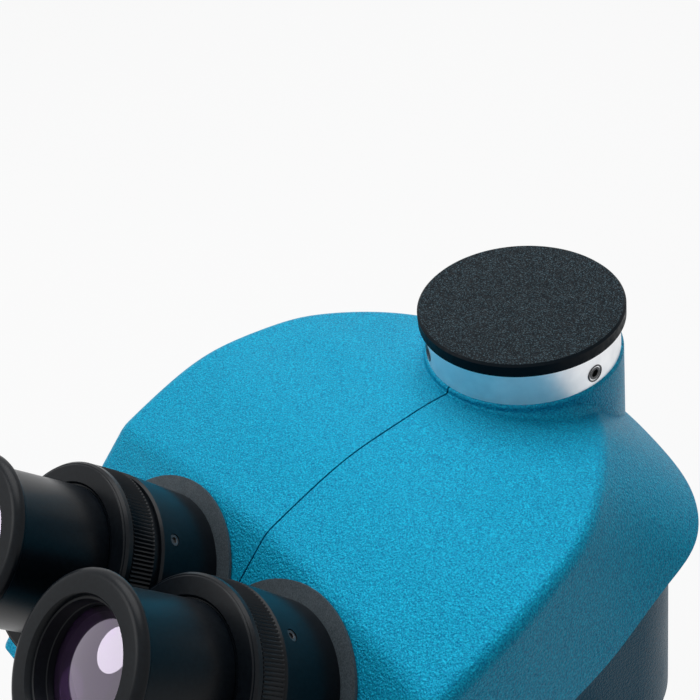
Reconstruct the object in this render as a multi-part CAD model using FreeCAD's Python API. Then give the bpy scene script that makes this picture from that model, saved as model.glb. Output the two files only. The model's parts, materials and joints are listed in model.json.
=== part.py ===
import FreeCAD, Part
import math
import os

V = FreeCAD.Vector

# Driving sizes, mm. Row frame: origin on the axis of the mount barrel at its shoulder,
# +X to the user's right, +Y away from the user, +Z up.
IPD_REST = 55.0
IPD_MIN = 54.0
IPD_MAX = 75.0
PIVOT_SPACING = 50.0
FACE_ANGLE = 45.0
CHANNEL_ANGLE = 6.0
BEND_Y = -40.0
BEND_Z = 140.0
TUBE_DOWN = 30.4
PIVOT_DOWN = 9.9
FOLD_Z = 86.0
WALL = 3.0
SEAM_GAP = 0.5
RIM_Z = 120.0
RIM_Y = 50.0
RIM_SLOPE = 0.25
DECK_T = 4.0
SCREW_HEAD_R = 2.6
CASING_SCREWS = [(64.2, -58), (64.2, 10), (12, 67.3)]
FIT = 0.05

# Photo port
PORT_Y = 51.7
BOSS_R = 28.0
BOSS_TOP = BEND_Z + 13.0
PORT_R = 19.0
RING_R = 27.2
RING_H = 10.6
RING_SEAT_R = 22.2
RING_SEAT_D = 3.6
CAP_R = 28.8
CAP_T = 3.8
CAP_GAP = 0.1
PORT_SCREW_R = 1.75
PORT_SCREW_Z = 3.6
PORT_SCREW_TURN = 3.0
HEX_R = 1.15

# Eyepiece tubes, measured along the tube axis from the casing's front face
NECK_R = 15.5
BEAM_R = 12.5
COVER_RING_R = 29.0
COVER_RING_T = 0.9
COVER_RING_FLAT = 1.1
FACE_GAP = 0.3
TUBE_R_HIGH = 25.9
TUBE_R_LOW = TUBE_R_HIGH - 1.5
TUBE_TOP = 22.2
TUBE_BORE_R = TUBE_R_HIGH - 1.3
DIOPTRE_R = TUBE_R_HIGH + 0.1
DIOPTRE_BOTTOM = 22.6
DIOPTRE_TOP = 32.6
SLEEVE_R = 20.0
INSERT_R = 15.0
BARREL_R = 19.66
FLANGE_R = 22.4
EYE_TOP = 64.2
LEFT_OUT = 2.4
TUBE_SCREW_R = 1.6
TUBE_SCREW_Z = 17.5
TUBE_SCREW_TURN = 56.0

# Prism boxes
BOX_R = 16.0
BOX_LOW = -31.5
BOX_HIGH = -8.0
PRISM_HALF = 9.0
BRIDGE_HALF = 53.0
BRIDGE_LEG = 6.0
TRUNNION_R = 13.0
TRUNNION_BORE = 10.5
SECTOR_T = 3.7
MODULE = 1.0
TEETH = 50

# Lower housing: half width, front, back, front and rear corner radius at three heights
HOUSING_FOOT = (47.0, -50.0, 50.0, 12.0, 26.0)
HOUSING_BELLY = (53.0, -59.0, 57.0, 12.0, 27.0)
HOUSING_WALL = (60.0, -66.0, 64.0, 14.0, 29.0)
BELLY_Z = 46.0
WALL_Z = 56.0
RELAY_R = 8.4
PHOTO_PRISM_HALF = 6.5
WEB_LOW = 74.0
WEB_HIGH = 78.0
FLOOR_T = 4.0
BARREL_MOUNT_R = 38.0
BARREL_MOUNT_L = 30.0
CELL_R = 10.2
CELL_Z = -41.5
OBJECTIVE_LOW = -58.0
THREAD_R = 23.6
THREAD_L = 8.0

# Zoom drive
SHAFT_Y = 26.0
SHAFT_Z = 30.0
SHAFT_R = 4.0
SHAFT_HALF = 72.0
BUSH_R = 8.0
HUB_R = 14.0
HUB_IN = 44.0
CAM_R = 22.5
CAM_HALF = 4.5
CAM_LEAD = 3.0
CAM_MEAN = 13.25
CAM_TURN = 100.0
PIN_R = 2.0
KNOB_R = 18.0
KNOB_IN = 55.2
KNOB_OUT = 76.2
KNOB_GAP = 0.7
KNOB_FLUTES = 36
FLUTE_R = 1.1
ROD_R = 2.0
ROD_OFF = 15.0

TAN_CH = math.tan(math.radians(CHANNEL_ANGLE))
PIVOT_X = PIVOT_SPACING / 2
TUBE_X = IPD_REST / 2
ARM = math.hypot(TUBE_X - PIVOT_X, TUBE_DOWN - PIVOT_DOWN)
SWING_REST = math.degrees(math.asin((TUBE_X - PIVOT_X) / ARM))
FACE = FreeCAD.Placement(V(0, BEND_Y, BEND_Z), FreeCAD.Rotation(V(1, 0, 0), FACE_ANGLE))
SIDES = {"left": -1, "right": 1}
NODES = {}


def cyl(r, z0, z1, x=0.0, y=0.0):
    return Part.makeCylinder(r, z1 - z0, V(x, y, z0))


def tube(r_out, r_in, z0, z1, x=0.0, y=0.0):
    return cyl(r_out, z0, z1, x, y).cut(cyl(r_in, z0 - 1, z1 + 1, x, y))


def box(x0, x1, y0, y1, z0, z1):
    return Part.makeBox(x1 - x0, y1 - y0, z1 - z0, V(x0, y0, z0))


def along_x(r, x0, x1, y=SHAFT_Y, z=SHAFT_Z):
    return Part.makeCylinder(r, abs(x1 - x0), V(min(x0, x1), y, z), V(1, 0, 0))


def turned(points, x=0.0, y=0.0):
    """Solid of revolution about Z from (radius, z) points."""
    wire = Part.makePolygon([V(r, 0, z) for r, z in points + points[:1]])
    solid = Part.Face(wire).revolve(V(0, 0, 0), V(0, 0, 1), 360)
    solid.translate(V(x, y, 0))
    return solid


def slab_yz(points, x0, x1):
    """Prism along X from (y, z) points."""
    wire = Part.makePolygon([V(x0, y, z) for y, z in points + points[:1]])
    return Part.Face(wire).extrude(V(x1 - x0, 0, 0))


def on_face(shape):
    """Places a shape modelled on the casing's sloping front face."""
    placed = shape.copy()
    placed.Placement = FACE.multiply(placed.Placement)
    return placed


def along_channel(shape, side, z):
    """Places a shape modelled about a vertical axis on one optical channel at height z."""
    x = side * (PIVOT_X - (FOLD_Z - z) * TAN_CH)
    placed = shape.copy()
    placed.Placement = FreeCAD.Placement(V(x, 0, z), FreeCAD.Rotation(V(0, 1, 0), side * CHANNEL_ANGLE))
    return placed


def channel_x(z):
    return PIVOT_X - (FOLD_Z - z) * TAN_CH


def rim_z(y):
    return RIM_Z + RIM_SLOPE * (y - RIM_Y)


def add(name, shape):
    NODES[name] = shape.removeSplitter() if shape.ShapeType == "Compound" else shape


# Helmet casing: plan outlines at two heights, half of each, (x, y) from the bend
CREASE = [(68.5, -62), (70, -30), (72, 0), (72.6, 18), (71, 32), (66, 50), (59, 63), (50, 73.5),
          (38, 83), (22, 90), (0, 93)]
SKIRT = [(70.5, -62), (72.5, -30), (73.5, 0), (73.2, 20), (72.3, 38.4), (71, 56.3), (68.6, 79.2),
         (67.6, 98), (58.8, 111.8), (40.5, 120.4), (0, 127.9)]
CREASE_Z = 9.0
SKIRT_Z = -27.0
CROWN = [(-75, -30.5), (-40, -16), (-12, -4.4), (0, 0.3), (13, 4.9), (29.6, 9.4), (47, 11.0), (57, 11.5),
         (66, 11.0), (80, 9.0), (100, 2.0), (125, -11)]
DROOP = 2.3
DROOP_X = 72.0
BEND_R = 10.0
CREASE_R = 4.0
BOSS_EDGE_R = 1.0


def outline_steps():
    """Curve parameters shared by every plan outline, so that their points pair up."""
    steps = [0.0]
    for (x0, y0), (x1, y1), (u0, v0), (u1, v1) in zip(CREASE, CREASE[1:], SKIRT, SKIRT[1:]):
        steps.append(steps[-1] + math.hypot(x1 - x0, y1 - y0) + math.hypot(u1 - u0, v1 - v0))
    return steps + [2 * steps[-1] - s for s in reversed(steps[:-1])]


OUTLINE_STEPS = outline_steps()


def inset_point(points, i, d):
    """Moves point i of a half outline inwards by d."""
    a = points[max(i - 1, 0)]
    b = points[min(i + 1, len(points) - 1)]
    tx, ty = b[0] - a[0], b[1] - a[1]
    if i == len(points) - 1:
        tx, ty = -1.0, 0.0
    length = math.hypot(tx, ty)
    return points[i][0] - d * ty / length, points[i][1] + d * tx / length


def outline(z, inset):
    """Plan outline of the casing's side at height z above the bend, inset by a wall."""
    k = (z - SKIRT_Z) / (CREASE_Z - SKIRT_Z)
    half = []
    for i in range(len(SKIRT)):
        lo = inset_point(SKIRT, i, inset)
        hi = inset_point(CREASE, i, inset)
        half.append((lo[0] + k * (hi[0] - lo[0]), lo[1] + k * (hi[1] - lo[1])))
    points = [V(-x, y + BEND_Y, z + BEND_Z) for x, y in half[:-1]]
    points += [V(half[-1][0], half[-1][1] + BEND_Y, z + BEND_Z)]
    points += [V(x, y + BEND_Y, z + BEND_Z) for x, y in reversed(half[:-1])]
    curve = Part.BSplineCurve()
    curve.interpolate(Points=points, Parameters=OUTLINE_STEPS)
    return Part.Wire([curve.toShape(), Part.makeLine(points[-1], points[0])])


def crown_block(drop):
    """Everything under the crown surface, lowered by drop."""
    wires = []
    for x in (-90.0, -45.0, 0.0, 45.0, 90.0):
        low = drop + DROOP * (x / DROOP_X) ** 2
        pts = [V(x, y + BEND_Y, z + BEND_Z - low) for y, z in CROWN]
        top = Part.BSplineCurve()
        top.interpolate(pts)
        corners = [pts[-1], V(x, pts[-1].y, 20), V(x, pts[0].y, 20), pts[0]]
        edges = [top.toShape()]
        edges += [Part.makeLine(corners[i], corners[i + 1]) for i in range(3)]
        wires.append(Part.Wire(edges))
    return Part.makeLoft(wires, True, False)


def above_rim():
    return slab_yz([(-130, rim_z(-130)), (130, rim_z(130)), (130, 200), (-130, 200)], -95, 95)


def helmet(inset):
    """Solid of the casing's outside, or of its inside when inset by the wall."""
    c = inset * math.sqrt(2)
    low_y = BEND_Y - 75
    front = slab_yz([(low_y, BEND_Z - 75 - c), (BEND_Y + 40, BEND_Z + 40 - c), (130, BEND_Z + 40 - c),
                     (130, 0), (low_y, 0)], -85, 85)
    body = crown_block(inset).common(front)
    bend = [e for e in body.Edges if e.BoundBox.XLength > 150 and e.BoundBox.YLength < 8
            and abs(e.BoundBox.Center.y - BEND_Y) < 10 and e.BoundBox.ZMin > BEND_Z - 20]
    body = body.makeFillet(BEND_R - inset, bend)
    body = body.common(Part.makeLoft([outline(-75, inset), outline(22, inset)], True, True))
    if inset < CREASE_R - 1:
        crease = [e for e in body.Edges if e.Length > 200 and e.BoundBox.ZMin > BEND_Z - 20]
        crease += [e for e in body.Edges if e.BoundBox.XLength < 5 and e.BoundBox.ZMax > BEND_Z - 10
                   and e.BoundBox.YLength > 3 and e.BoundBox.YMax < BEND_Y + 5]
        body = body.makeFillet(CREASE_R, crease)
    return body.common(above_rim())


def slot(side):
    """Opening in the front face that a tube's neck swings in."""
    a_min = math.degrees(math.asin((IPD_MIN / 2 - PIVOT_X) / ARM)) - 1.0
    a_max = math.degrees(math.asin((IPD_MAX / 2 - PIVOT_X) / ARM)) + 1.0
    r = NECK_R + 0.6
    z0, z1 = -WALL - 12, 6
    start = -90 + a_min if side > 0 else -90 - a_max
    ring = Part.makeCylinder(ARM + r, z1 - z0, V(0, 0, z0), V(0, 0, 1), a_max - a_min)
    ring = ring.cut(cyl(ARM - r, z0 - 1, z1 + 1))
    ring.rotate(V(0, 0, 0), V(0, 0, 1), start)
    shape = ring
    for a in (a_min, a_max):
        x = side * ARM * math.sin(math.radians(a))
        y = -ARM * math.cos(math.radians(a))
        shape = shape.fuse(cyl(r, z0, z1, x, y))
    shape.translate(V(side * PIVOT_X, -PIVOT_DOWN, 0))
    return on_face(shape)


def casing():
    boss = cyl(BOSS_R, 60, BOSS_TOP, 0, PORT_Y)
    boss = boss.makeFillet(BOSS_EDGE_R, [e for e in boss.Edges if e.BoundBox.ZMin > BOSS_TOP - 0.01])
    outer = helmet(0).fuse(boss.common(above_rim()))
    inner = helmet(WALL).fuse(cyl(BOSS_R - 4, 90, BOSS_TOP - 12, 0, PORT_Y))
    shell = outer.cut(inner).cut(cyl(PORT_R + 0.5, BOSS_TOP - 20, BOSS_TOP + 1, 0, PORT_Y))
    for side in (-1, 1):
        shell = shell.cut(slot(side))
    return shell


def build_casing():
    shell = casing()
    half = SEAM_GAP / 2
    add("casing_left", shell.common(box(-100, -half, -130, 130, 0, 200)))
    add("casing_right", shell.common(box(half, 100, -130, 130, 0, 200)))


def rounded(z, w, front, back, rf, rb):
    """Closed outline with rounded corners, radius rf in front and rb behind."""
    corners = [((w - rf), front + rf, rf, -90), ((w - rb), back - rb, rb, 0),
               (-(w - rb), back - rb, rb, 90), (-(w - rf), front + rf, rf, 180)]
    arcs = []
    for x, y, r, a in corners:
        pts = [V(x + r * math.cos(math.radians(a + t)), y + r * math.sin(math.radians(a + t)), z)
               for t in (0, 45, 90)]
        arcs.append(Part.Arc(*pts).toShape())
    edges = []
    for i, arc in enumerate(arcs):
        nxt = arcs[(i + 1) % 4]
        edges += [arc, Part.makeLine(arc.lastVertex().Point, nxt.firstVertex().Point)]
    return Part.Wire(edges)


def housing(inset, z0):
    """Tapered lower housing from z0 up, inset by a wall."""
    def section(z, sizes):
        w, f, b, rf, rb = sizes
        return rounded(z, w - inset, f + inset, b - inset, rf - inset, rb - inset)
    k = z0 / BELLY_Z
    foot = [lo + k * (hi - lo) for lo, hi in zip(HOUSING_FOOT, HOUSING_BELLY)]
    sections = [section(z0, foot), section(BELLY_Z, HOUSING_BELLY), section(WALL_Z, HOUSING_WALL),
                section(BEND_Z, HOUSING_WALL)]
    return Part.makeLoft(sections, True, True)


def build_housing():
    under = slab_yz([(-130, rim_z(-130)), (130, rim_z(130)), (130, -10), (-130, -10)], -95, 95)
    outer = housing(0, 0)
    inner = housing(WALL, FLOOR_T)
    web = inner.common(box(-95, 95, -95, 95, WEB_LOW, WEB_HIGH))
    shell = outer.cut(inner).fuse(web)
    for side in (-1, 1):
        hub_out = KNOB_IN - 2 * KNOB_GAP
        shell = shell.fuse(along_x(HUB_R, side * HUB_IN, side * hub_out))
        shell = shell.cut(along_x(BUSH_R, side * (HUB_IN - 1), side * (hub_out + 1)))
        shell = shell.cut(along_channel(cyl(10.5, -10, 10), side, (WEB_LOW + WEB_HIGH) / 2))
    shell = shell.cut(cyl(6.5, WEB_LOW - 1, WEB_HIGH + 1, 0, PORT_Y))
    shell = shell.cut(cyl(30, -1, FLOOR_T + 1))
    add("body_casting", shell.common(under))
    deck = helmet(WALL + 0.15).common(
        slab_yz([(-130, rim_z(-130)), (130, rim_z(130)), (130, rim_z(130) + DECK_T),
                 (-130, rim_z(-130) + DECK_T)], -95, 95))
    deck = deck.cut(box(-55, 55, -64, -14.5, 60, 160)).cut(box(-44, 44, -15, 4, 60, 160))
    deck = deck.cut(cyl(RELAY_R + 0.2, 60, 160, 0, PORT_Y))
    add("deck_plate", deck)


def build_mount():
    add("mount_barrel", tube(BARREL_MOUNT_R, 34, -BARREL_MOUNT_L, 0))
    z0 = -BARREL_MOUNT_L
    shell = turned([(28, z0), (36, z0), (36, z0 - 3), (31, z0 - 6), (30, OBJECTIVE_LOW),
                    (THREAD_R, OBJECTIVE_LOW), (THREAD_R, OBJECTIVE_LOW + THREAD_L),
                    (27, OBJECTIVE_LOW + THREAD_L + 2), (27, z0 - 16), (28, z0 - 16)])
    plate = cyl(28.5, z0 - 16, z0 - 12)
    for side in (-1, 1):
        plate = plate.cut(along_channel(cyl(CELL_R, -10, 10), side, CELL_Z))
    add("objective_housing", shell.fuse(plate))


def build_objectives():
    for name, side in SIDES.items():
        body = cyl(CELL_R, -6, 8).cut(cyl(8.6, -7, 9)).fuse(tube(8.6, 7.6, -2, 0))
        add("objective_cell_" + name, along_channel(body, side, CELL_Z))
        lens = Part.makeSphere(26, V(0, 0, 20)).common(cyl(8.6, -6, -2))
        add("objective_lens_" + name, along_channel(lens, side, CELL_Z))


def build_rods():
    for name, side in SIDES.items():
        rods = []
        for dx, dy in ((0, -ROD_OFF), (side * ROD_OFF, 0)):
            rod = cyl(ROD_R, -70, 70, dx, dy)
            rod = along_channel(rod, side, 40)
            rods.append(rod.common(box(-95, 95, -95, 95, FLOOR_T, WEB_LOW)))
        add("guide_rods_" + name, Part.makeCompound(rods))


def build_optics():
    prism = slab_yz([(-10, WEB_HIGH), (10, WEB_HIGH), (16, 88), (0.7, 99.4), (-13.4, 85.3)], -10, 10)
    for name, side in SIDES.items():
        part = prism.copy()
        part.translate(V(side * PIVOT_X, 0, 0))
        add("folding_prism_" + name, part)
    x, z = channel_x(66), 66.0
    angle = math.degrees(math.atan2(PORT_Y, -x))
    cube = box(-8, 8, -8, 8, z - 8, z + 8)
    cube.rotate(V(0, 0, 0), V(0, 0, 1), angle)
    cube.translate(V(x, 0, 0))
    add("beam_splitter", cube)
    h = PHOTO_PRISM_HALF
    wire = Part.makePolygon([V(-h, -h, WEB_LOW), V(-h, -h, WEB_LOW - 2 * h), V(h, -h, WEB_LOW),
                             V(-h, -h, WEB_LOW)])
    mirror = Part.Face(wire).extrude(V(0, 2 * h, 0))
    mirror.rotate(V(0, 0, 0), V(0, 0, 1), angle)
    mirror.translate(V(0, PORT_Y, 0))
    add("photo_prism", mirror)
    add("photo_relay_tube", tube(RELAY_R, RELAY_R - 1.5, WEB_HIGH, 142, 0, PORT_Y))


def build_port():
    z = BOSS_TOP
    ring = tube(RING_R, PORT_R, z, z + RING_H, 0, PORT_Y)
    seat = z + RING_H - RING_SEAT_D
    ring = ring.cut(cyl(RING_SEAT_R, seat, z + RING_H + 1, 0, PORT_Y))
    edge = [e for e in ring.Edges if abs(e.BoundBox.ZMax - (z + RING_H)) < 1e-3
            and abs(e.BoundBox.XLength - 2 * RING_R) < 0.01]
    ring = ring.makeChamfer(0.8, edge)
    screws = []
    for a in (PORT_SCREW_TURN, PORT_SCREW_TURN + 120, PORT_SCREW_TURN + 240):
        hole = Part.makeCylinder(PORT_SCREW_R + FIT, 20, V(PORT_R - 1, 0, z + PORT_SCREW_Z), V(1, 0, 0))
        hole.rotate(V(0, 0, 0), V(0, 0, 1), a)
        hole.translate(V(0, PORT_Y, 0))
        ring = ring.cut(hole)
        screw = Part.makeCylinder(PORT_SCREW_R, 6.8, V(PORT_R + 0.6, 0, z + PORT_SCREW_Z), V(1, 0, 0))
        corners = [(HEX_R * math.cos(math.radians(60 * i)), HEX_R * math.sin(math.radians(60 * i)))
                   for i in range(7)]
        hexagon = Part.makePolygon([V(PORT_R + 5.4, y, z + PORT_SCREW_Z + h) for y, h in corners])
        screw = screw.cut(Part.Face(hexagon).extrude(V(3, 0, 0)))
        screw.rotate(V(0, 0, 0), V(0, 0, 1), a)
        screw.translate(V(0, PORT_Y, 0))
        screws.append(screw)
    add("port_ring", ring)
    add("port_set_screws", Part.makeCompound(screws))
    top = z + RING_H + CAP_GAP
    plug = RING_SEAT_R - 0.1
    cap = turned([(0, top), (0, top + CAP_T), (CAP_R - 0.6, top + CAP_T), (CAP_R, top + CAP_T - 0.6),
                  (CAP_R, top), (plug, top), (plug, top - 3.2), (plug - 3, top - 3.2),
                  (plug - 3, top)], 0, PORT_Y)
    add("port_cap", cap)


def sector(side):
    """Toothed sector round the pivot of a prism box, teeth towards the other pivot."""
    pitch = MODULE * TEETH / 2
    root, tip = pitch - 1.25 * MODULE, pitch + MODULE
    half = math.pi * MODULE / 4 - 0.125
    slope = math.tan(math.radians(20))
    w_root, w_tip = half + 1.25 * MODULE * slope, half - MODULE * slope
    step = 2 * math.pi / TEETH
    pts = [V(0, 0, 0)]
    shift = 0.0 if side < 0 else 0.5
    count = 5
    for k in range(-count, count + 1):
        a = (k + shift) * step
        for r, w in ((root, -w_root), (tip, -w_tip), (tip, w_tip), (root, w_root)):
            b = a + w / r
            pts.append(V(r * math.cos(b), r * math.sin(b), 0))
    face = Part.Face(Part.makePolygon(pts + pts[:1]))
    plate = face.extrude(V(0, 0, SECTOR_T)).fuse(cyl(17.5, 0, SECTOR_T))
    plate = plate.cut(cyl(TRUNNION_R + FIT, -1, SECTOR_T + 1))
    if side > 0:
        plate.rotate(V(0, 0, 0), V(0, 0, 1), 180)
    plate.translate(V(side * PIVOT_X, -PIVOT_DOWN, BOX_LOW - SECTOR_T))
    return plate


def stadium(side, r, z0, z1):
    """Two round ends, one on the pivot and one on the tube, with straight sides between."""
    px, py = side * PIVOT_X, -PIVOT_DOWN
    tx, ty = side * TUBE_X, -TUBE_DOWN
    shape = cyl(r, z0, z1, px, py).fuse(cyl(r, z0, z1, tx, ty))
    mid = box(0, ARM, -r, r, z0, z1)
    mid.rotate(V(0, 0, 0), V(0, 0, 1), math.degrees(math.atan2(ty - py, tx - px)))
    mid.translate(V(px, py, 0))
    return shape.fuse(mid).removeSplitter()


def build_box(name, side):
    px, py = side * PIVOT_X, -PIVOT_DOWN
    tx, ty = side * TUBE_X, -TUBE_DOWN
    shell = stadium(side, BOX_R, BOX_LOW, BOX_HIGH)
    shell = shell.cut(stadium(side, BOX_R - 2.8, BOX_LOW + 2, BOX_HIGH - 3))
    shell = shell.cut(cyl(TRUNNION_BORE, BOX_LOW - 1, BOX_LOW + 3, px, py))
    shell = shell.cut(cyl(BEAM_R - 2, BOX_HIGH - 4, BOX_HIGH + 1, tx, ty))
    add("prism_box_" + name, on_face(shell))
    h = PRISM_HALF
    z0 = BOX_LOW + 2
    pts = [(-h, z0), (ARM - h, z0), (ARM + h, z0 + 2 * h), (h, z0 + 2 * h)]
    wire = Part.makePolygon([V(a, -h, z) for a, z in pts + pts[:1]])
    prism = Part.Face(wire).extrude(V(0, 2 * h, 0))
    prism.rotate(V(0, 0, 0), V(0, 0, 1), math.degrees(math.atan2(ty - py, tx - px)))
    prism.translate(V(px, py, 0))
    add("erecting_prism_" + name, on_face(prism))
    add("gear_sector_" + name, on_face(sector(side)))


def build_tube(name, side):
    tx, ty = side * TUBE_X, -TUBE_DOWN
    low = FACE_GAP + COVER_RING_T
    body = turned([(BEAM_R, BOX_HIGH), (NECK_R, BOX_HIGH), (NECK_R, low), (TUBE_R_LOW, low),
                   (TUBE_R_HIGH, TUBE_TOP - 0.6), (TUBE_R_HIGH - 0.6, TUBE_TOP),
                   (TUBE_BORE_R, TUBE_TOP), (TUBE_BORE_R, low + 3.5), (BEAM_R, low + 3.5)], tx, ty)
    turn = TUBE_SCREW_TURN + side * SWING_REST
    hole = Part.makeCylinder(TUBE_SCREW_R + FIT, 6, V(TUBE_BORE_R - 2, 0, TUBE_SCREW_Z), V(1, 0, 0))
    hole.rotate(V(0, 0, 0), V(0, 0, 1), turn)
    hole.translate(V(tx, ty, 0))
    body = body.cut(hole)
    add("eyepiece_tube_" + name, on_face(body))
    screw = Part.makeCylinder(TUBE_SCREW_R, 0.6, V(TUBE_BORE_R + 0.1, 0, TUBE_SCREW_Z), V(1, 0, 0))
    screw.rotate(V(0, 0, 0), V(0, 0, 1), turn)
    screw.translate(V(tx, ty, 0))
    add("tube_set_screw_" + name, on_face(screw))
    ring = tube(COVER_RING_R, NECK_R, FACE_GAP, low, tx, ty)
    trim = box(-20, 0, -40, 40, -1, 5) if side > 0 else box(0, 20, -40, 40, -1, 5)
    trim.translate(V(side * COVER_RING_FLAT, ty, 0))
    add("cover_ring_" + name, on_face(ring.cut(trim)))


def build_eyepiece(name, side):
    tx, ty = side * TUBE_X, -TUBE_DOWN
    out = LEFT_OUT if side < 0 else 0.0

    def put(key, shape):
        shape.translate(V(0, 0, out))
        add(key + "_" + name, on_face(shape))

    bore = SLEEVE_R + FIT
    ring = turned([(bore, 10), (TUBE_BORE_R - 0.1, 10), (TUBE_BORE_R - 0.1, DIOPTRE_BOTTOM),
                   (DIOPTRE_R - 0.5, DIOPTRE_BOTTOM), (DIOPTRE_R, DIOPTRE_BOTTOM + 0.5),
                   (DIOPTRE_R, DIOPTRE_TOP - 0.8), (DIOPTRE_R - 0.8, DIOPTRE_TOP),
                   (bore, DIOPTRE_TOP)], tx, ty)
    put("dioptre_ring", ring)
    put("focus_sleeve", tube(SLEEVE_R, INSERT_R + FIT, 8, DIOPTRE_TOP - 0.4, tx, ty))
    low = DIOPTRE_TOP - 0.3
    neck = EYE_TOP - 3.3
    body = turned([(13.5, 10.6), (INSERT_R, 10.6), (INSERT_R, low), (BARREL_R - 0.4, low),
                   (BARREL_R, low + 0.4), (BARREL_R, neck - 0.8), (FLANGE_R - 1.0, neck),
                   (FLANGE_R, neck + 0.8), (FLANGE_R, EYE_TOP - 1.0), (FLANGE_R - 1.0, EYE_TOP),
                   (14.8, EYE_TOP), (13.0, EYE_TOP - 2.2), (13.0, EYE_TOP - 3.4), (12.0, EYE_TOP - 3.4),
                   (12.0, EYE_TOP - 12), (14.0, EYE_TOP - 14), (14.0, low + 3), (13.5, low + 3)], tx, ty)
    put("eyepiece_barrel", body)
    eye = cyl(12.0, EYE_TOP - 11, EYE_TOP - 3.9, tx, ty)
    eye = eye.common(Part.makeSphere(30, V(tx, ty, EYE_TOP - 33.9)))
    put("eye_lens", eye)
    put("field_lens", cyl(13.5, 12, 15, tx, ty))


def build_bridge():
    z1 = BOX_LOW - SECTOR_T - FACE_GAP
    z0 = z1 - 4
    plate = box(-BRIDGE_HALF, BRIDGE_HALF, -26, 9, z0, z1)
    for side in (-1, 1):
        px, py = side * PIVOT_X, -PIVOT_DOWN
        plate = plate.fuse(cyl(TRUNNION_R, z0, BOX_LOW - 0.2, px, py))
        plate = plate.cut(cyl(TRUNNION_BORE, z0 - 1, BOX_LOW + 1, px, py))
    bridge = on_face(plate)

    def deck(y):
        return rim_z(y) + DECK_T
    foot = [(-13.5, deck(-13.5)), (-13.5, 113.5), (-8, 119), (8, deck(8))]
    leg_in = BRIDGE_HALF - BRIDGE_LEG
    for x0, x1 in ((-BRIDGE_HALF, -leg_in), (leg_in, BRIDGE_HALF)):
        bridge = bridge.fuse(slab_yz(foot, x0, x1))
    add("prism_bridge", bridge.removeSplitter())


def groove(face_side, start):
    """Spiral groove in one face of the cam disc, in the disc's own plane (y, z)."""
    pts_in, pts_out = [], []
    span = math.radians(CAM_TURN + 6)
    n = 25
    w = PIN_R + 0.1
    for i in range(n):
        t = -span + 2 * span * i / (n - 1)
        r = CAM_MEAN + CAM_LEAD * t
        b = start - t
        radial = (math.cos(b), math.sin(b))
        d = (CAM_LEAD * radial[0] + r * math.sin(b), CAM_LEAD * radial[1] - r * math.cos(b))
        length = math.hypot(*d)
        nx, ny = -d[1] / length, d[0] / length
        y, z = r * radial[0], r * radial[1]
        pts_in.append(V(0, y + w * nx, z + w * ny))
        pts_out.append(V(0, y - w * nx, z - w * ny))
    curves = []
    for pts in (pts_in, pts_out):
        c = Part.BSplineCurve()
        c.interpolate(pts)
        curves.append(c.toShape())
    ends = [Part.makeLine(pts_in[-1], pts_out[-1]), Part.makeLine(pts_out[0], pts_in[0])]
    face = Part.Face(Part.Wire(Part.__sortEdges__(curves + ends)))
    cut = face.extrude(V(3.5, 0, 0))
    for p, q in ((pts_in[0], pts_out[0]), (pts_in[-1], pts_out[-1])):
        m = (p + q) * 0.5
        cut = cut.fuse(Part.makeCylinder(w, 3.5, m, V(1, 0, 0)))
    cut.translate(V(1.5 if face_side > 0 else -5.0, SHAFT_Y, SHAFT_Z))
    return cut


def build_zoom():
    add("zoom_shaft", along_x(SHAFT_R, -SHAFT_HALF, SHAFT_HALF))
    disc = along_x(CAM_R, -CAM_HALF, CAM_HALF).cut(along_x(SHAFT_R, -10, 10))
    for side in (-1, 1):
        for start in (math.pi / 2, -math.pi / 2):
            disc = disc.cut(groove(side, start))
    add("zoom_cam_disc", disc)
    for name, side in SIDES.items():
        knob = turned([(SHAFT_R, KNOB_IN), (8, KNOB_IN), (8, KNOB_OUT - 6), (KNOB_R - 3, KNOB_OUT - 6),
                       (KNOB_R - 3, KNOB_IN), (KNOB_R - 0.6, KNOB_IN), (KNOB_R, KNOB_IN + 0.6),
                       (KNOB_R, KNOB_OUT - 2), (KNOB_R - 2, KNOB_OUT), (0, KNOB_OUT),
                       (0, SHAFT_HALF), (SHAFT_R, SHAFT_HALF)])
        for i in range(KNOB_FLUTES):
            a = 2 * math.pi * i / KNOB_FLUTES
            reach = KNOB_R + 0.55 * FLUTE_R
            knob = knob.cut(cyl(FLUTE_R, KNOB_IN + 2, KNOB_OUT - 3, reach * math.cos(a), reach * math.sin(a)))
        knob.rotate(V(0, 0, 0), V(0, 1, 0), 90 * side)
        knob.translate(V(0, SHAFT_Y, SHAFT_Z))
        add("zoom_knob_" + name, knob)
        bush = along_x(BUSH_R, side * HUB_IN, side * (KNOB_IN - KNOB_GAP))
        add("shaft_bush_" + name, bush.cut(along_x(SHAFT_R + FIT, -KNOB_IN, KNOB_IN)))
        for level, sign in (("upper", 1), ("lower", -1)):
            z = SHAFT_Z + sign * CAM_MEAN
            cx = channel_x(z)
            ring = cyl(11, -4.5, 4.5)
            for dx, dy in ((0, -ROD_OFF), (side * ROD_OFF, 0)):
                ring = ring.fuse(cyl(4.5, -4.5, 4.5, dx, dy))
            arm_in = 9.0 * side
            x0, x1 = sorted((-arm_in, -arm_in + 6 * side))
            ring = ring.fuse(box(x0, x1, 4, SHAFT_Y + 3, -3, 3))
            for dx, dy in ((0, -ROD_OFF), (side * ROD_OFF, 0)):
                ring = ring.cut(cyl(ROD_R + FIT, -6, 6, dx, dy))
            ring = ring.cut(cyl(8.5, -6, 6))
            part = along_channel(ring, side, z)
            tip = 2.6
            pin = along_x(PIN_R, side * tip, side * (cx - 6), SHAFT_Y, z)
            key = level + "_" + name
            add("carriage_" + key, part.fuse(pin))
            lens = cyl(8.5, -3, 3).common(Part.makeSphere(25, V(0, 0, -22)))
            add("zoom_lens_" + key, along_channel(lens, side, z))


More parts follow.
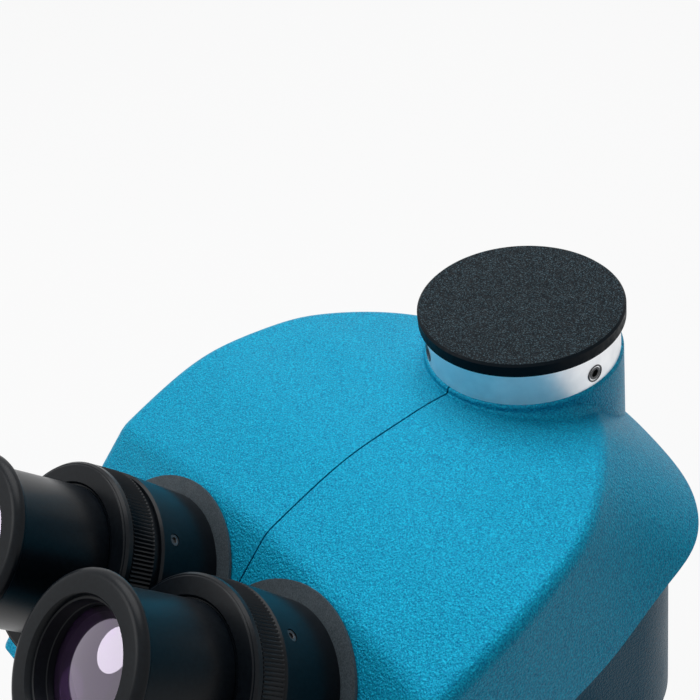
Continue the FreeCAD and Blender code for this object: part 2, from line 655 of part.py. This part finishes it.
def build_screws():
    head = cyl(SCREW_HEAD_R, -2, 0).cut(cyl(SCREW_HEAD_R / 2, -3, -0.9))
    head.rotate(V(0, 0, 0), V(1, 0, 0), math.degrees(math.atan(RIM_SLOPE)))
    screws = []
    for side in (-1, 1):
        for x, y in CASING_SCREWS:
            screw = head.copy()
            screw.translate(V(side * x, y, rim_z(y)))
            screws.append(screw)
    add("casing_screws", Part.makeCompound(screws))


build_casing()
build_housing()
build_mount()
build_objectives()
build_rods()
build_optics()
build_port()
build_bridge()
build_zoom()
build_screws()
for NAME, SIDE in SIDES.items():
    build_box(NAME, SIDE)
    build_tube(NAME, SIDE)
    build_eyepiece(NAME, SIDE)

os.makedirs("parts", exist_ok=True)
for NAME in sorted(NODES):
    NODES[NAME].exportStep("parts/" + NAME + ".step")
    print(NAME, len(NODES[NAME].Solids), round(NODES[NAME].Volume), NODES[NAME].isValid())
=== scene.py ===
import json
import math

import bmesh
import bpy
from mathutils import Matrix, Vector
from mathutils.bvhtree import BVHTree


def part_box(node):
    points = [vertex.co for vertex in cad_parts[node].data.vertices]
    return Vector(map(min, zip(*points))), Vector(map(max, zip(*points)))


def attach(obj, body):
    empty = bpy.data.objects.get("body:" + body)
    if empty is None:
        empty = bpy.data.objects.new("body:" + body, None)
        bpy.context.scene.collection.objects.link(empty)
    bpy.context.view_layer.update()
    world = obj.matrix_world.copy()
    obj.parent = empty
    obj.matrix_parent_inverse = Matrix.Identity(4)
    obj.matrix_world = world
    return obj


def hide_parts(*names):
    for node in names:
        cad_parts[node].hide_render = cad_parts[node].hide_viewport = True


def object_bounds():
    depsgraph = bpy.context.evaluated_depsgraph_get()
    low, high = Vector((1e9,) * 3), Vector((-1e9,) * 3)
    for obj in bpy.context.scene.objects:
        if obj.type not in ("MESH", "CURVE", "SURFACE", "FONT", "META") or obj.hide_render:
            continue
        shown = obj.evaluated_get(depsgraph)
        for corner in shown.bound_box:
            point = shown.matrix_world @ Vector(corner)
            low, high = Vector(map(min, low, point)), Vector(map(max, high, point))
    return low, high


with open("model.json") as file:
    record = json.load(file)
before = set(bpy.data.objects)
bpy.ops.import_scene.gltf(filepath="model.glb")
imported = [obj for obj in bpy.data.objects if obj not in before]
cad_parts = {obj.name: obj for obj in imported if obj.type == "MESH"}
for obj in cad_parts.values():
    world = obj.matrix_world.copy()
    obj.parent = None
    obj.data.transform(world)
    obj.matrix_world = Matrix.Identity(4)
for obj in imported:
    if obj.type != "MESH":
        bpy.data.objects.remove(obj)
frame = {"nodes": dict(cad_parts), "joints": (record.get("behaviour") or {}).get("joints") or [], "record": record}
cad_box = [list(corner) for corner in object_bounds()]

MM = 0.001
SIDES = ("left", "right")
NODES = frame["nodes"]
SLOT_OF = {part["node"]: part["material_slot"] for part in frame["record"]["subparts"]}
JOINTS = {joint["name"]: joint for joint in frame["joints"]}

# Camera: place in metres, turns in degrees
CAMERA_AT = (0.26718, -0.17527, 0.41645)
CAMERA_YAW = 58.43
CAMERA_PITCH = -34.24
CAMERA_ROLL = -8.56
CAMERA_NEAR = 0.01
LENS_MM = 79.27
SENSOR_MM = 36.0
SHIFT = (0.038, -0.083)

# Lamps: name, place, size in metres, power in watts
LIGHT_TARGET = (0, 0, 0.1)
LAMPS = (("key_overhead", (-0.38, 0.25, 1.0), (1.1, 0.9), 9.0),
         ("fill_front", (-0.5, -0.75, 0.85), (0.6, 0.6), 3.2))

# Surroundings: colours, strengths, lengths in metres
WHITE = (1, 1, 1, 1)
SKY_TINT = (0.86, 0.93, 1.0, 1)
SKY_LEVEL = 0.15
FLOOR_WHITE = 0.89
FLOOR_HALF = 3.0
FLOOR_GAP = 0.0004
FLOOR_Z = cad_box[0][2] - FLOOR_GAP

# Dioptre ring: lengths in mm, along the eyepiece axis from the casing's front face
JOINT_UP = 27.0
LEFT_OUT = 2.4
RING_BORE = 20.05
RING_OUT = 26.0
RING_SKIRT = 24.5
RING_FOOT = 10.0
RING_LOW = 22.6
RING_TOP = 32.6
RING_ROUND = 0.5
GROOVE_DEPTH = 0.45
KNURL_LOW = 22.9
KNURL_HIGH = 29.8
KNURL_EDGE = 0.15
KNURL_RIDGES = 150
KNURL_DEPTH = 0.4
KNURL_CUT = (1.0, 0.5, 0.0, 0.5)

# Eyepiece: lengths in mm, along the same axis
INSERT_R = 15.0
INSERT_LOW = 10.6
INSERT_WALL = 1.5
BARREL_R = 19.66
BARREL_EDGE = 0.4
BARREL_LOW = RING_TOP - 0.3
FLANGE_R = 22.4
FLANGE_UNDER_ROUND = 0.9
FLANGE_TOP_ROUND = 2.2
EYE_TOP = 64.2
NECK_TOP = EYE_TOP - 3.3
MOUTH_R = 16.2
LENS_R = 14.5
LENS_CURVE = 34.0
LENS_TOP = EYE_TOP - 3.7
LENS_THICK = 6.2
LENS_SEAT_R = LENS_R + 0.1

# Photo port and its boss on the casing: lengths in mm, turns in degrees
BOSS_R = 28.0
BOSS_TOP = 153.0
PORT_RING_R = 27.2
SCREW_UP = 3.6
SCREW_TURNS = (3, 123, 243)

# Fillet at the foot of the boss: lengths in mm
FOOT_R = 4.5
FOOT_SPAN = math.radians(100)
FOOT_FADE = 3.0
FOOT_LEAST_SHARE = 0.02
FOOT_LEAST_R = 0.2
FOOT_PROBES = (1.0, 5.0)
FOOT_BELOW_TOP = 1.2
FOOT_SUNK = 0.5
FOOT_INWARD = 0.6
FOOT_COUNT = 96
FOOT_STEPS = 10
SEAM_HALF = 0.25
PROBE_FROM = 300.0

# Sockets of the set screws: lengths in mm
PORT_HEX_R = 1.25
TUBE_HEX_R = 0.85
HEX_REACH = 0.2

# Steps round a turned piece, and the angle in degrees below which an edge is drawn smooth
BODY_STEPS = 160
LENS_STEPS = 120
SCREW_STEPS = 60
TURNED_SMOOTH = 28.0
FOOT_SMOOTH = 40.0


def face_matrix(side):
    """Local frame of one eyepiece tube: z outward along its axis, origin in the casing's front face."""
    joint = JOINTS["dioptre_" + side]
    axis = Vector(joint["axis"]).normalized()
    origin = Vector(joint["pos_m"]) - axis * JOINT_UP * MM
    across = Vector((1, 0, 0))
    up = axis.cross(across)
    return Matrix.Translation(origin) @ Matrix((across, up, axis)).transposed().to_4x4()


def eye_matrix(side):
    """The same frame for the turned pieces of an eyepiece; the left one stands further out."""
    out = LEFT_OUT if side == "left" else 0.0
    return face_matrix(side) @ Matrix.Translation((0, 0, out * MM))


def camera():
    yaw, pitch, roll = (math.radians(a) for a in (CAMERA_YAW, CAMERA_PITCH, CAMERA_ROLL))
    look = Vector((-math.sin(yaw) * math.cos(pitch), math.cos(yaw) * math.cos(pitch), math.sin(pitch)))
    level_right = look.cross(Vector((0, 0, 1))).normalized()
    level_up = level_right.cross(look)
    right = level_right * math.cos(roll) + level_up * math.sin(roll)
    up = level_up * math.cos(roll) - level_right * math.sin(roll)
    data = bpy.data.cameras.new("camera")
    data.lens = LENS_MM
    data.sensor_width = SENSOR_MM
    data.shift_x, data.shift_y = SHIFT
    data.clip_start = CAMERA_NEAR
    obj = bpy.data.objects.new("camera", data)
    bpy.context.scene.collection.objects.link(obj)
    turn = Matrix((right, up, -look)).transposed()
    obj.matrix_world = Matrix.Translation(Vector(CAMERA_AT)) @ turn.to_4x4()
    bpy.context.scene.camera = obj


def area_light(name, at, size, power):
    data = bpy.data.lights.new(name, "AREA")
    data.shape = "ELLIPSE"
    data.size, data.size_y = size
    data.energy = power
    obj = bpy.data.objects.new(name, data)
    bpy.context.scene.collection.objects.link(obj)
    obj.location = at
    obj.rotation_euler = (Vector(LIGHT_TARGET) - Vector(at)).to_track_quat("-Z", "Y").to_euler()


def sees_background(tree):
    """1 for rays from the camera, through glass or off a shiny surface, and 0 for all others."""
    path = tree.nodes.new("ShaderNodeLightPath")
    seen = path.outputs["Is Camera Ray"]
    for ray in ("Is Transmission Ray", "Is Glossy Ray"):
        larger = tree.nodes.new("ShaderNodeMath")
        larger.operation = "MAXIMUM"
        tree.links.new(seen, larger.inputs[0])
        tree.links.new(path.outputs[ray], larger.inputs[1])
        seen = larger.outputs[0]
    return seen


def background(tree, colour, strength):
    node = tree.nodes.new("ShaderNodeBackground")
    node.inputs["Color"].default_value = colour
    node.inputs["Strength"].default_value = strength
    return node.outputs[0]


def studio():
    """Soft boxes and a dim sky for the object, white surroundings for the camera and for mirrors."""
    for lamp in LAMPS:
        area_light(*lamp)
    world = bpy.data.worlds.new("studio")
    bpy.context.scene.world = world
    world.use_nodes = True
    tree = world.node_tree
    tree.nodes.clear()
    out = tree.nodes.new("ShaderNodeOutputWorld")
    mix = tree.nodes.new("ShaderNodeMixShader")
    tree.links.new(sees_background(tree), mix.inputs[0])
    tree.links.new(background(tree, SKY_TINT, SKY_LEVEL), mix.inputs[1])
    tree.links.new(background(tree, WHITE, 1.0), mix.inputs[2])
    tree.links.new(mix.outputs[0], out.inputs["Surface"])


class Shader:
    """One principled material with short calls for the nodes it needs; noise scales are per metre."""

    def __init__(self, name, **sockets):
        self.material = bpy.data.materials.new(name)
        self.material.use_nodes = True
        self.tree = self.material.node_tree
        self.bsdf = self.tree.nodes["Principled BSDF"]
        for key, value in sockets.items():
            self.bsdf.inputs[key.replace("_", " ")].default_value = value
        self.place = self.tree.nodes.new("ShaderNodeTexCoord").outputs["Object"]

    def node(self, kind, **values):
        node = self.tree.nodes.new("ShaderNode" + kind)
        for key, value in values.items():
            if hasattr(node, key):
                setattr(node, key, value)
            else:
                node.inputs[key.replace("_", " ")].default_value = value
        return node

    def link(self, a, b):
        self.tree.links.new(a, b)

    def noise(self, scale, detail=3.0, rough=0.5, stretch=None):
        node = self.node("TexNoise", Scale=scale, Detail=detail, Roughness=rough)
        place = self.place
        if stretch:
            scaled = self.node("Mapping")
            scaled.inputs["Scale"].default_value = stretch
            self.link(place, scaled.inputs["Vector"])
            place = scaled.outputs[0]
        self.link(place, node.inputs["Vector"])
        return node.outputs["Fac"]

    def cells(self, scale):
        """Distance to the nearest cell centre, with soft borders between the cells."""
        node = self.node("TexVoronoi", feature="SMOOTH_F1", Scale=scale, Randomness=1.0)
        self.link(self.place, node.inputs["Vector"])
        return node.outputs["Distance"]

    def ramp(self, value, low, high, a, b):
        """Maps value from low..high to the colours or numbers a..b."""
        node = self.node("ValToRGB")
        node.color_ramp.elements[0].position = low
        node.color_ramp.elements[1].position = high
        for element, colour in zip(node.color_ramp.elements, (a, b)):
            element.color = (*colour, 1) if hasattr(colour, "__len__") else (colour, colour, colour, 1)
        self.link(value, node.inputs["Fac"])
        return node.outputs["Color"]

    def math(self, operation, a, b):
        node = self.node("Math", operation=operation)
        for value, socket in zip((a, b), node.inputs):
            if isinstance(value, (int, float)):
                socket.default_value = value
            else:
                self.link(value, socket)
        return node.outputs[0]

    def colour(self, socket):
        self.link(socket, self.bsdf.inputs["Base Color"])

    def roughness(self, socket):
        self.link(socket, self.bsdf.inputs["Roughness"])

    def bump(self, height, strength, distance):
        node = self.node("Bump", Strength=strength, Distance=distance)
        self.link(height, node.inputs["Height"])
        self.link(node.outputs[0], self.bsdf.inputs["Normal"])


def grained_paint(name, dark, light):
    """Slightly metallic paint over a cast leather-like grain."""
    s = Shader(name, Metallic=0.2, IOR=1.5, Specular_IOR_Level=0.06)
    grain = s.cells(1600.0)
    fine = s.noise(2600.0, 2.0)
    height = s.math("ADD", s.math("MULTIPLY", grain, 0.8), s.math("MULTIPLY", fine, 0.8))
    s.bump(height, 0.85, 0.00036)
    s.colour(s.ramp(s.noise(2200.0, 3.0, 0.7), 0.38, 0.66, dark, light))
    s.roughness(s.ramp(s.noise(60.0, 2.0), 0.3, 0.7, 0.33, 0.39))
    return s.material


def black_anodised():
    s = Shader("black_anodised", Metallic=0.0, IOR=1.45, Specular_IOR_Level=0.16)
    s.colour(s.ramp(s.noise(900.0, 4.0, 0.6), 0.3, 0.8, (0.002, 0.003, 0.005), (0.005, 0.008, 0.011)))
    s.roughness(s.ramp(s.noise(35.0, 3.0), 0.3, 0.75, 0.28, 0.36))
    s.bump(s.noise(5200.0, 2.0), 0.12, 0.00004)
    return s.material


def black_wrinkle_with_painted_glints():
    """Wrinkled paint on the flat top, whose light teal specks are painted glints; smooth black on the turned edge.
    """
    s = Shader("cap_black", Metallic=0.0, IOR=1.45, Specular_IOR_Level=0.09)
    facing = s.node("SeparateXYZ")
    s.link(s.node("NewGeometry").outputs["Normal"], facing.inputs[0])
    top = s.math("GREATER_THAN", facing.outputs["Z"], 0.95)
    wrinkle_and_glints = s.math("MULTIPLY", s.noise(2500.0, 2.0, 0.6), top)
    # Near-black wrinkle paint; its light teal specks are painted glints on the wrinkles, not a colour of the
    # paint.
    s.colour(s.ramp(wrinkle_and_glints, 0.52, 0.68, (0.001, 0.004, 0.007), (0.08, 0.135, 0.165)))
    s.roughness(s.ramp(s.noise(700.0, 2.0), 0.3, 0.7, 0.36, 0.6))
    s.bump(wrinkle_and_glints, 1.0, 0.0006)
    return s.material


def turned_metal(name, low, high, roughness, line_scale=(0, 0, 9000)):
    """Metal with fine lathe lines round its axis."""
    s = Shader(name, Metallic=1.0)
    lines = s.noise(1.0, 3.0, 0.6, line_scale)
    s.colour(s.ramp(s.noise(220.0, 3.0), 0.3, 0.7, low, high))
    s.roughness(s.ramp(lines, 0.3, 0.7, roughness * 0.8, roughness * 1.25))
    s.bump(lines, 0.12, 0.00002)
    return s.material


def speckled_grey():
    s = Shader("ring_grey", Metallic=0.0, IOR=1.5)
    speck = s.noise(2600.0, 4.0, 0.75)
    s.colour(s.ramp(speck, 0.35, 0.72, (0.010, 0.018, 0.024), (0.062, 0.085, 0.102)))
    s.roughness(s.ramp(s.noise(400.0, 2.0), 0.3, 0.7, 0.62, 0.78))
    s.bump(speck, 0.5, 0.00012)
    return s.material


def cast_metal():
    s = Shader("cast_aluminium", Metallic=0.9)
    s.colour(s.ramp(s.noise(500.0, 4.0), 0.3, 0.7, (0.34, 0.35, 0.36), (0.5, 0.51, 0.52)))
    s.roughness(s.ramp(s.noise(90.0, 3.0), 0.3, 0.7, 0.38, 0.52))
    s.bump(s.noise(1500.0, 3.0), 0.3, 0.0001)
    return s.material


def moulded_black():
    s = Shader("knob_black", Metallic=0.0, IOR=1.5)
    s.colour(s.ramp(s.noise(600.0, 3.0), 0.3, 0.8, (0.012, 0.012, 0.013), (0.026, 0.026, 0.028)))
    s.roughness(s.ramp(s.noise(80.0, 3.0), 0.3, 0.7, 0.42, 0.55))
    s.bump(s.noise(2600.0, 2.0), 0.25, 0.00006)
    return s.material


def coated_glass():
    """Optical glass with a purple anti-reflection coating."""
    s = Shader("optical_glass", Metallic=0.0, IOR=1.8, Transmission_Weight=0.85, Coat_Weight=1.0,
               Coat_Roughness=0.02, Coat_IOR=2.0)
    s.bsdf.inputs["Coat Tint"].default_value = (0.72, 0.6, 0.8, 1)
    s.bsdf.inputs["Specular Tint"].default_value = (0.8, 0.62, 0.95, 1)
    s.colour(s.ramp(s.noise(40.0, 2.0), 0.3, 0.7, (0.10, 0.07, 0.12), (0.14, 0.10, 0.16)))
    s.roughness(s.ramp(s.noise(120.0, 2.0), 0.3, 0.7, 0.015, 0.04))
    return s.material


def dark_steel():
    s = Shader("screw_steel", Metallic=0.85)
    s.colour(s.ramp(s.noise(700.0, 3.0), 0.3, 0.7, (0.05, 0.05, 0.054), (0.10, 0.10, 0.105)))
    s.roughness(s.ramp(s.noise(300.0, 2.0), 0.3, 0.7, 0.3, 0.42))
    s.bump(s.noise(3000.0, 2.0), 0.2, 0.00004)
    return s.material


def make_materials():
    return {
        "casing_blue": grained_paint("casing_blue", (0.001, 0.17, 0.34), (0.008, 0.47, 0.70)),
        # The housing's paint is the casing's blue made darker: painted shade for a housing that lies in the
        # casing's shadow.
        "housing_blue": grained_paint("housing_blue", (0.002, 0.045, 0.085), (0.006, 0.10, 0.17)),
        "black_anodised": black_anodised(),
        "cap_black": black_wrinkle_with_painted_glints(),
        "ring_grey": speckled_grey(),
        "bright_aluminium": turned_metal("bright_aluminium", (0.80, 0.82, 0.85), (0.92, 0.93, 0.95), 0.4),
        "cast_aluminium": cast_metal(),
        "steel": turned_metal("steel", (0.5, 0.5, 0.52), (0.62, 0.62, 0.65), 0.25, (6000, 0, 0)),
        "screw_steel": dark_steel(),
        "brass": turned_metal("brass", (0.58, 0.42, 0.16), (0.76, 0.58, 0.28), 0.28, (5000, 0, 0)),
        "knob_black": moulded_black(),
        "optical_glass": coated_glass(),
    }


def dress_cad():
    for name, obj in NODES.items():
        obj.data.materials.clear()
        obj.data.materials.append(MATERIALS[SLOT_OF[name]])


def new_object(name, bm, material, matrix=None, smooth_angle=TURNED_SMOOTH):
    mesh = bpy.data.meshes.new(name)
    if matrix is not None:
        bm.transform(matrix)
    bmesh.ops.recalc_face_normals(bm, faces=bm.faces)
    for face in bm.faces:
        face.smooth = True
    limit = math.radians(smooth_angle)
    for edge in bm.edges:
        edge.smooth = edge.calc_face_angle(0.0) < limit
    bm.to_mesh(mesh)
    bm.free()
    mesh.materials.append(material)
    obj = bpy.data.objects.new(name, mesh)
    bpy.context.scene.collection.objects.link(obj)
    return obj


def arc(centre_r, centre_z, size, start, end, count):
    """Points (radius, z) on an arc of the given size, from start to end in degrees."""
    turns = [math.radians(start + (end - start) * i / count) for i in range(count + 1)]
    return [(centre_r + size * math.cos(turn), centre_z + size * math.sin(turn)) for turn in turns]


def join_rows(bm, rows):
    """Faces between each two neighbouring rows, which are closed outlines of equal length."""
    n = len(rows[0])
    for a, b in zip(rows, rows[1:]):
        for k in range(n):
            m = (k + 1) % n
            bm.faces.new((a[k], b[k], b[m], a[m]))


def lathe(profile, count, radius_at=None):
    """Closed ring from (radius, z) points in mm, with an optional change of radius by step."""
    bm = bmesh.new()
    rings = []
    for i in range(count):
        a = 2 * math.pi * i / count
        row = []
        for r, z in profile:
            rr = r if radius_at is None else radius_at(i, r, z)
            row.append(bm.verts.new((rr * math.cos(a) * MM, rr * math.sin(a) * MM, z * MM)))
        rings.append(row)
    join_rows(bm, rings + rings[:1])
    bmesh.ops.remove_doubles(bm, verts=bm.verts, dist=1e-7)
    return bm


def knurled(i, r, z):
    """Radius at one step round the dioptre ring, cut in by the knurl between its two edges."""
    if KNURL_LOW < z < KNURL_HIGH and r > RING_OUT - 0.01:
        return r - KNURL_DEPTH * KNURL_CUT[i % len(KNURL_CUT)]
    return r


def dioptre_ring(side):
    """Focusing ring with a straight knurl below a smooth rounded shoulder."""
    groove = RING_OUT - GROOVE_DEPTH
    profile = [(RING_BORE, RING_FOOT), (RING_SKIRT, RING_FOOT), (RING_SKIRT, RING_LOW),
               (RING_OUT - 0.4, RING_LOW), (RING_OUT, RING_LOW + 0.2),
               (RING_OUT, KNURL_LOW + KNURL_EDGE), (RING_OUT, KNURL_HIGH - KNURL_EDGE),
               (groove, KNURL_HIGH), (groove, KNURL_HIGH + 0.2), (RING_OUT, KNURL_HIGH + 0.4),
               (RING_OUT, RING_TOP - 1.1), (RING_OUT - 0.5, RING_TOP - 0.3)]
    profile += arc(RING_OUT - 1.3, RING_TOP - RING_ROUND, RING_ROUND, 30, 90, 4)
    profile += [(RING_BORE + RING_ROUND, RING_TOP), (RING_BORE, RING_TOP - RING_ROUND)]
    bm = lathe(profile, KNURL_RIDGES * len(KNURL_CUT), knurled)
    obj = new_object("knurled_dioptre_ring_" + side, bm, MATERIALS["black_anodised"], eye_matrix(side))
    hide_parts("dioptre_ring_" + side)
    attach(obj, "dioptre_" + side)


def eyepiece_body(side):
    """Barrel with a wide flange and a stepped mouth that leads down to the seat of the eye lens."""
    under = FLANGE_UNDER_ROUND
    top = FLANGE_TOP_ROUND
    inner = INSERT_R - 1.0
    bore = INSERT_R - INSERT_WALL
    profile = [(bore, INSERT_LOW), (INSERT_R, INSERT_LOW), (INSERT_R, BARREL_LOW),
               (BARREL_R - BARREL_EDGE, BARREL_LOW), (BARREL_R, BARREL_LOW + BARREL_EDGE),
               (BARREL_R, NECK_TOP - 1.2), (BARREL_R + 0.3, NECK_TOP - 0.6), (FLANGE_R - 1.0, NECK_TOP)]
    profile += arc(FLANGE_R - under, NECK_TOP + under, under, -90, 0, 5)
    profile += arc(FLANGE_R - top, EYE_TOP - top, top, 0, 90, 8)
    profile += [(MOUTH_R + 0.3, EYE_TOP), (MOUTH_R, EYE_TOP - 0.3), (MOUTH_R - 0.4, EYE_TOP - 1.6),
                (MOUTH_R - 0.9, EYE_TOP - 1.7), (LENS_R + 0.3, LENS_TOP - 1.2)]
    profile += [(LENS_SEAT_R, LENS_TOP - 1.4), (LENS_SEAT_R, LENS_TOP - LENS_THICK - 0.1),
                (inner, LENS_TOP - 6.8), (inner, BARREL_LOW + 3.0), (bore, BARREL_LOW + 3.0)]
    bm = lathe(profile, BODY_STEPS)
    obj = new_object("eyepiece_body_" + side, bm, MATERIALS["black_anodised"], eye_matrix(side))
    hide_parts("eyepiece_barrel_" + side)
    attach(obj, "eyepiece_" + side)


def eye_lens(side):
    """Coated lens with a domed top, set deep in the mouth of the eyepiece."""
    edge = math.degrees(math.acos(LENS_R / LENS_CURVE))
    dome = arc(0, LENS_TOP - LENS_CURVE, LENS_CURVE, edge, 90, 14)
    flat = LENS_TOP - LENS_THICK
    bm = lathe([(0, flat), (LENS_R, flat)] + dome, LENS_STEPS)
    obj = new_object("domed_eye_lens_" + side, bm, MATERIALS["optical_glass"], eye_matrix(side))
    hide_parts("eye_lens_" + side)
    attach(obj, "eyepiece_" + side)


def hexagon(size):
    """Change of radius that turns a round of about this radius into a hexagon."""
    def radius_at(i, r, z):
        if abs(r - size) > HEX_REACH:
            return r
        turn = math.radians(i * 360 / SCREW_STEPS % 60 - 30)
        return r * math.cos(math.radians(30)) / math.cos(turn)
    return radius_at


def upright(place, across, along, outward):
    """Matrix of a piece at place, with its own x, y and z turned to three square directions."""
    return Matrix.Translation(place) @ Matrix((across, along, outward)).transposed().to_4x4()


def box_centre(low, high):
    return (Vector(low) + Vector(high)) / 2


def tube_screw(side):
    """Small socket set screw sunk in the side of the eyepiece tube."""
    centre = box_centre(*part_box("tube_set_screw_" + side))
    base = face_matrix(side)
    axis = base.col[2].to_3d()
    away = centre - base.translation
    radial = (away - axis * away.dot(axis)).normalized()
    profile = [(0, -0.3), (1.6, -0.3), (1.6, 0.24), (1.5, 0.3), (TUBE_HEX_R + 0.1, 0.3), (TUBE_HEX_R, 0.2),
               (TUBE_HEX_R, -0.22), (0, -0.26)]
    bm = lathe(profile, SCREW_STEPS, hexagon(TUBE_HEX_R))
    place = upright(centre, axis.cross(radial), axis, radial)
    obj = new_object("tube_socket_screw_" + side, bm, MATERIALS["screw_steel"], place)
    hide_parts("tube_set_screw_" + side)
    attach(obj, "prism_box_" + side)


def add_turned(whole, part, place):
    """Moves a turned piece to its place and adds it to a mesh that holds several."""
    part.transform(place)
    mesh = bpy.data.meshes.new("screw")
    part.to_mesh(mesh)
    part.free()
    whole.from_mesh(mesh)
    bpy.data.meshes.remove(mesh)


def port_screws():
    """Three socket set screws in their bright-edged seats round the port ring."""
    centre = box_centre(*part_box("port_ring"))
    centre.z = BOSS_TOP * MM + SCREW_UP * MM
    profile = [(0, -2.0), (2.6, -2.0), (2.6, 0.08), (2.45, 0.14), (2.2, 0.14), (2.1, -0.4), (1.95, -0.4),
               (1.85, 0.05), (PORT_HEX_R + 0.1, 0.05), (PORT_HEX_R, -0.05), (PORT_HEX_R, -1.2), (0, -1.4)]
    up = Vector((0, 0, 1))
    whole = bmesh.new()
    for turn in SCREW_TURNS:
        angle = math.radians(turn)
        axis = Vector((math.cos(angle), math.sin(angle), 0))
        place = upright(centre + axis * PORT_RING_R * MM, up.cross(axis), up, axis)
        add_turned(whole, lathe(profile, SCREW_STEPS, hexagon(PORT_HEX_R)), place)
    obj = new_object("port_socket_screws", whole, MATERIALS["screw_steel"])
    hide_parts("port_set_screws")
    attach(obj, "body")


def casing_tree(side):
    obj = NODES["casing_" + side]
    return BVHTree.FromPolygons([v.co for v in obj.data.vertices], [p.vertices for p in obj.data.polygons])


def crown_height(tree, point):
    """Height of the casing's top at a point's x and y, or None past its edge."""
    hit = tree.ray_cast(Vector((point.x, point.y, PROBE_FROM * MM)), Vector((0, 0, -1)))
    return hit[0].z if hit[0] else None


def off_seam(point, sign):
    """The point, moved sideways where needed to stay on its own side of the casing's seam."""
    point.x = sign * max(sign * point.x, SEAM_HALF * MM)
    return point


def foot_section(tree, centre, sign, share):
    """Closed outline of the fillet at a share of its span, or None where the crown ends."""
    turn = -math.pi / 2 + FOOT_SPAN * share
    out = Vector((sign * math.cos(turn), math.sin(turn), 0))
    boss = BOSS_R * MM
    near, far = (reach * MM for reach in FOOT_PROBES)
    aside = Vector((sign * 2 * SEAM_HALF * MM, 0, 0))
    near_z = crown_height(tree, centre + out * (boss + near) + aside)
    far_z = crown_height(tree, centre + out * (boss + far) + aside)
    if near_z is None or far_z is None:
        return None

    # Round between the boss and the crown, whose slope is met smoothly
    slope = math.atan2(far_z - near_z, far - near)
    base = near_z - math.tan(slope) * near
    lean = math.tan((math.pi / 2 - slope) / 2)
    wanted = FOOT_R * MM * min(1.0, FOOT_LEAST_SHARE + FOOT_FADE * (1 - share))
    room = (BOSS_TOP * MM - FOOT_BELOW_TOP * MM - base) * lean
    rho = max(FOOT_LEAST_R * MM, min(wanted, room))
    outline = []
    for k in range(FOOT_STEPS + 1):
        t = math.pi + (math.pi / 2 - slope) * k / FOOT_STEPS
        point = off_seam(centre + out * (boss + rho + rho * math.cos(t)), sign)
        point.z = base + rho / lean + rho * math.sin(t)
        outline.append(point)

    # Back of the fillet, inside the casing and the boss
    first, last = outline[0], outline[-1]
    inner = off_seam(centre + out * (boss - FOOT_INWARD * MM), sign)
    outline.append(Vector((last.x, last.y, last.z - FOOT_SUNK * MM)))
    outline.append(Vector((inner.x, inner.y, base - FOOT_SUNK * MM)))
    outline.append(Vector((inner.x, inner.y, first.z)))
    return outline


def boss_foot(side):
    """Soft fillet between the port boss and the crown, one half per casing half."""
    centre = box_centre(*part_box("port_ring"))
    tree = casing_tree(side)
    sign = 1 if side == "right" else -1
    bm = bmesh.new()
    rows = []
    for i in range(FOOT_COUNT + 1):
        outline = foot_section(tree, centre, sign, i / FOOT_COUNT)
        if outline is None:
            break
        rows.append([bm.verts.new(point) for point in outline])
    join_rows(bm, rows)
    bm.faces.new(rows[0])
    bm.faces.new(rows[-1])
    obj = new_object("boss_foot_" + side, bm, MATERIALS["casing_blue"], None, FOOT_SMOOTH)
    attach(obj, "body")


def floor():
    """Pale floor that the camera and shiny pieces see as white, and that keeps the shadow."""
    bm = bmesh.new()
    corners = [(-1, -1), (1, -1), (1, 1), (-1, 1)]
    bm.faces.new([bm.verts.new((x * FLOOR_HALF, y * FLOOR_HALF, FLOOR_Z)) for x, y in corners])
    s = Shader("floor_pale", Metallic=0.0)
    s.colour(s.ramp(s.noise(4.0, 2.0), 0.3, 0.7, (0.66, 0.66, 0.66), (0.7, 0.7, 0.7)))
    s.roughness(s.ramp(s.noise(9.0, 2.0), 0.3, 0.7, 0.85, 0.95))
    glow = s.node("Emission", Color=WHITE, Strength=1.0)
    mix = s.node("MixShader")
    s.link(s.math("MULTIPLY", sees_background(s.tree), FLOOR_WHITE), mix.inputs[0])
    s.link(s.bsdf.outputs[0], mix.inputs[1])
    s.link(glow.outputs[0], mix.inputs[2])
    s.link(mix.outputs[0], s.tree.nodes["Material Output"].inputs["Surface"])
    obj = new_object("floor", bm, s.material)


bpy.context.scene.view_settings.view_transform = "Standard"
camera()
studio()
MATERIALS = make_materials()
dress_cad()
for eye in SIDES:
    dioptre_ring(eye)
    eyepiece_body(eye)
    eye_lens(eye)
    boss_foot(eye)
    tube_screw(eye)
port_screws()
floor()
